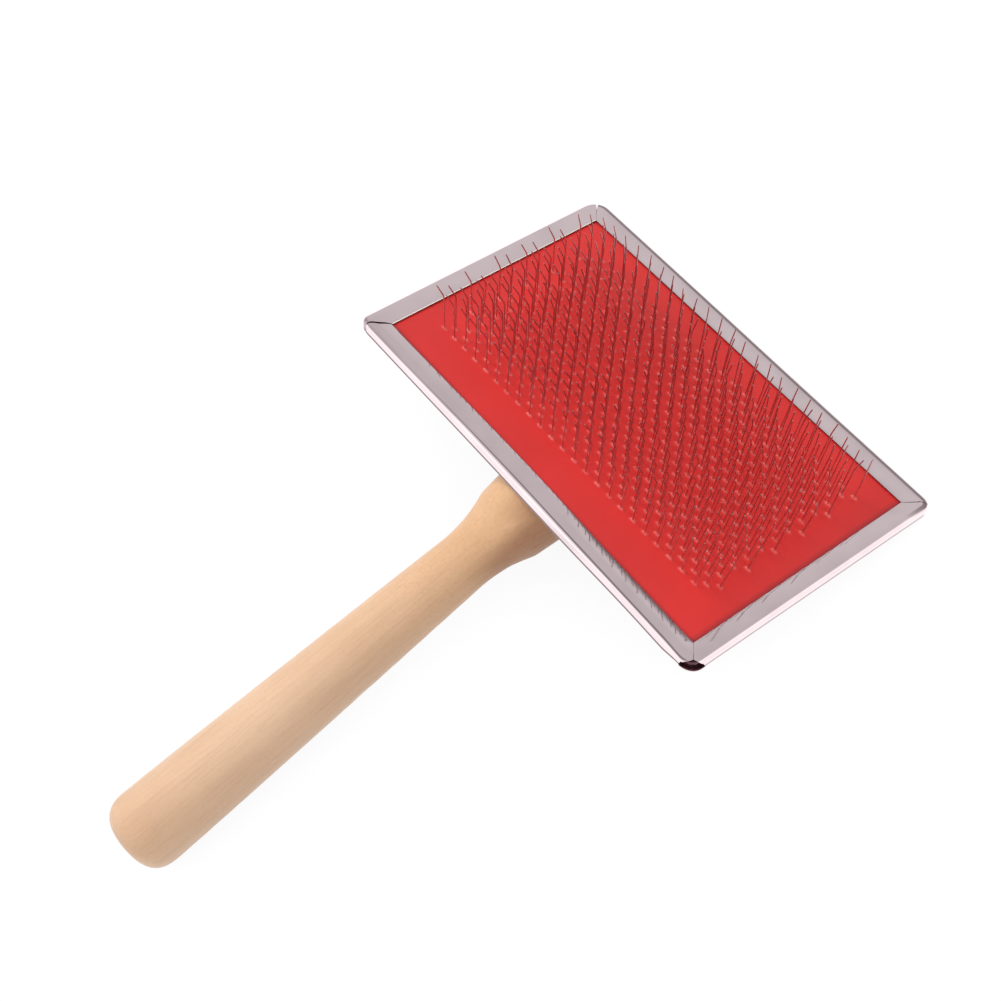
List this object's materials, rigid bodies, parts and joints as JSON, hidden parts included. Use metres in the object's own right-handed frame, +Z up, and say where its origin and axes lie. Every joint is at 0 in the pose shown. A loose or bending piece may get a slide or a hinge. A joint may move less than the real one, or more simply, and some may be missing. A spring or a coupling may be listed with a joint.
{
  "type": "slicker brush",
  "caption": "Pet slicker brush: fine bent wire pins in a red rubber-faced pad, held in a shallow folded tinplate head on a turned wooden handle.",
  "frame": {"origin": "on the table under the middle of the brush's bounding box, with the brush lying pins up on the far edge of its head and the butt of its handle", "axes": "+Z up, +Y along the brush from the handle to the head, +X along the long side of the head; the head's plane is turned 18.9 degrees about X from level"},
  "size_m": [0.1204, 0.19, 0.0382],
  "materials": {
    "bright_tinplate": "bright rolled tinplate, softly reflective",
    "red_rubber": "satin, with a small raised bead round each pin",
    "woven_backing": "plain-woven cotton",
    "grey_felt": "matted felt",
    "pale_beech": "sanded, thin clear lacquer",
    "spring_wire": "drawn steel wire",
    "zinc_plated_screw": "zinc plated"
  },
  "bodies": {
    "head_and_handle": {"head_pan": "bright_tinplate", "rubber_pad_face": "red_rubber", "woven_backing_cloth": "woven_backing", "felt_cushion": "grey_felt", "wooden_handle": "pale_beech", "handle_screw_near": "zinc_plated_screw", "handle_screw_far": "zinc_plated_screw"},
    "row_01": {"pin_row_01": "spring_wire"},
    "row_02": {"pin_row_02": "spring_wire"},
    "row_03": {"pin_row_03": "spring_wire"},
    "row_04": {"pin_row_04": "spring_wire"},
    "row_05": {"pin_row_05": "spring_wire"},
    "row_06": {"pin_row_06": "spring_wire"},
    "row_07": {"pin_row_07": "spring_wire"},
    "row_08": {"pin_row_08": "spring_wire"},
    "row_09": {"pin_row_09": "spring_wire"},
    "row_10": {"pin_row_10": "spring_wire"},
    "row_11": {"pin_row_11": "spring_wire"},
    "row_12": {"pin_row_12": "spring_wire"},
    "row_13": {"pin_row_13": "spring_wire"},
    "row_14": {"pin_row_14": "spring_wire"},
    "row_15": {"pin_row_15": "spring_wire"},
    "row_16": {"pin_row_16": "spring_wire"},
    "row_17": {"pin_row_17": "spring_wire"},
    "row_18": {"pin_row_18": "spring_wire"},
    "row_19": {"pin_row_19": "spring_wire"},
    "row_20": {"pin_row_20": "spring_wire"},
    "row_21": {"pin_row_21": "spring_wire"},
    "row_22": {"pin_row_22": "spring_wire"},
    "row_23": {"pin_row_23": "spring_wire"}
  },
  "joints": [
    {"name": "rock_01", "type": "hinge", "parent": "head_and_handle", "child": "row_01", "pos_m": [0, 0.03803, 0.02216], "axis": [1, 0, 0], "range_deg": [-6, 6], "stiffness_Nm_per_rad": 0.008},
    {"name": "rock_02", "type": "hinge", "parent": "head_and_handle", "child": "row_02", "pos_m": [0, 0.04005, 0.02147], "axis": [1, 0, 0], "range_deg": [-6, 6], "stiffness_Nm_per_rad": 0.008},
    {"name": "rock_03", "type": "hinge", "parent": "head_and_handle", "child": "row_03", "pos_m": [0, 0.04206, 0.02078], "axis": [1, 0, 0], "range_deg": [-6, 6], "stiffness_Nm_per_rad": 0.008},
    {"name": "rock_04", "type": "hinge", "parent": "head_and_handle", "child": "row_04", "pos_m": [0, 0.04408, 0.02009], "axis": [1, 0, 0], "range_deg": [-6, 6], "stiffness_Nm_per_rad": 0.008},
    {"name": "rock_05", "type": "hinge", "parent": "head_and_handle", "child": "row_05", "pos_m": [0, 0.04609, 0.0194], "axis": [1, 0, 0], "range_deg": [-6, 6], "stiffness_Nm_per_rad": 0.008},
    {"name": "rock_06", "type": "hinge", "parent": "head_and_handle", "child": "row_06", "pos_m": [0, 0.04811, 0.01871], "axis": [1, 0, 0], "range_deg": [-6, 6], "stiffness_Nm_per_rad": 0.008},
    {"name": "rock_07", "type": "hinge", "parent": "head_and_handle", "child": "row_07", "pos_m": [0, 0.05012, 0.01801], "axis": [1, 0, 0], "range_deg": [-6, 6], "stiffness_Nm_per_rad": 0.008},
    {"name": "rock_08", "type": "hinge", "parent": "head_and_handle", "child": "row_08", "pos_m": [0, 0.05214, 0.01732], "axis": [1, 0, 0], "range_deg": [-6, 6], "stiffness_Nm_per_rad": 0.008},
    {"name": "rock_09", "type": "hinge", "parent": "head_and_handle", "child": "row_09", "pos_m": [0, 0.05415, 0.01663], "axis": [1, 0, 0], "range_deg": [-6, 6], "stiffness_Nm_per_rad": 0.008},
    {"name": "rock_10", "type": "hinge", "parent": "head_and_handle", "child": "row_10", "pos_m": [0, 0.05616, 0.01594], "axis": [1, 0, 0], "range_deg": [-6, 6], "stiffness_Nm_per_rad": 0.008},
    {"name": "rock_11", "type": "hinge", "parent": "head_and_handle", "child": "row_11", "pos_m": [0, 0.05818, 0.01525], "axis": [1, 0, 0], "range_deg": [-6, 6], "stiffness_Nm_per_rad": 0.008},
    {"name": "rock_12", "type": "hinge", "parent": "head_and_handle", "child": "row_12", "pos_m": [0, 0.06019, 0.01456], "axis": [1, 0, 0], "range_deg": [-6, 6], "stiffness_Nm_per_rad": 0.008},
    {"name": "rock_13", "type": "hinge", "parent": "head_and_handle", "child": "row_13", "pos_m": [0, 0.06221, 0.01387], "axis": [1, 0, 0], "range_deg": [-6, 6], "stiffness_Nm_per_rad": 0.008},
    {"name": "rock_14", "type": "hinge", "parent": "head_and_handle", "child": "row_14", "pos_m": [0, 0.06422, 0.01318], "axis": [1, 0, 0], "range_deg": [-6, 6], "stiffness_Nm_per_rad": 0.008},
    {"name": "rock_15", "type": "hinge", "parent": "head_and_handle", "child": "row_15", "pos_m": [0, 0.06624, 0.01248], "axis": [1, 0, 0], "range_deg": [-6, 6], "stiffness_Nm_per_rad": 0.008},
    {"name": "rock_16", "type": "hinge", "parent": "head_and_handle", "child": "row_16", "pos_m": [0, 0.06825, 0.01179], "axis": [1, 0, 0], "range_deg": [-6, 6], "stiffness_Nm_per_rad": 0.008},
    {"name": "rock_17", "type": "hinge", "parent": "head_and_handle", "child": "row_17", "pos_m": [0, 0.07027, 0.0111], "axis": [1, 0, 0], "range_deg": [-6, 6], "stiffness_Nm_per_rad": 0.008},
    {"name": "rock_18", "type": "hinge", "parent": "head_and_handle", "child": "row_18", "pos_m": [0, 0.07228, 0.01041], "axis": [1, 0, 0], "range_deg": [-6, 6], "stiffness_Nm_per_rad": 0.008},
    {"name": "rock_19", "type": "hinge", "parent": "head_and_handle", "child": "row_19", "pos_m": [0, 0.0743, 0.00972], "axis": [1, 0, 0], "range_deg": [-6, 6], "stiffness_Nm_per_rad": 0.008},
    {"name": "rock_20", "type": "hinge", "parent": "head_and_handle", "child": "row_20", "pos_m": [0, 0.07631, 0.00903], "axis": [1, 0, 0], "range_deg": [-6, 6], "stiffness_Nm_per_rad": 0.008},
    {"name": "rock_21", "type": "hinge", "parent": "head_and_handle", "child": "row_21", "pos_m": [0, 0.07833, 0.00834], "axis": [1, 0, 0], "range_deg": [-6, 6], "stiffness_Nm_per_rad": 0.008},
    {"name": "rock_22", "type": "hinge", "parent": "head_and_handle", "child": "row_22", "pos_m": [0, 0.08034, 0.00765], "axis": [1, 0, 0], "range_deg": [-6, 6], "stiffness_Nm_per_rad": 0.008},
    {"name": "rock_23", "type": "hinge", "parent": "head_and_handle", "child": "row_23", "pos_m": [0, 0.08236, 0.00695], "axis": [1, 0, 0], "range_deg": [-6, 6], "stiffness_Nm_per_rad": 0.008}
  ]
}
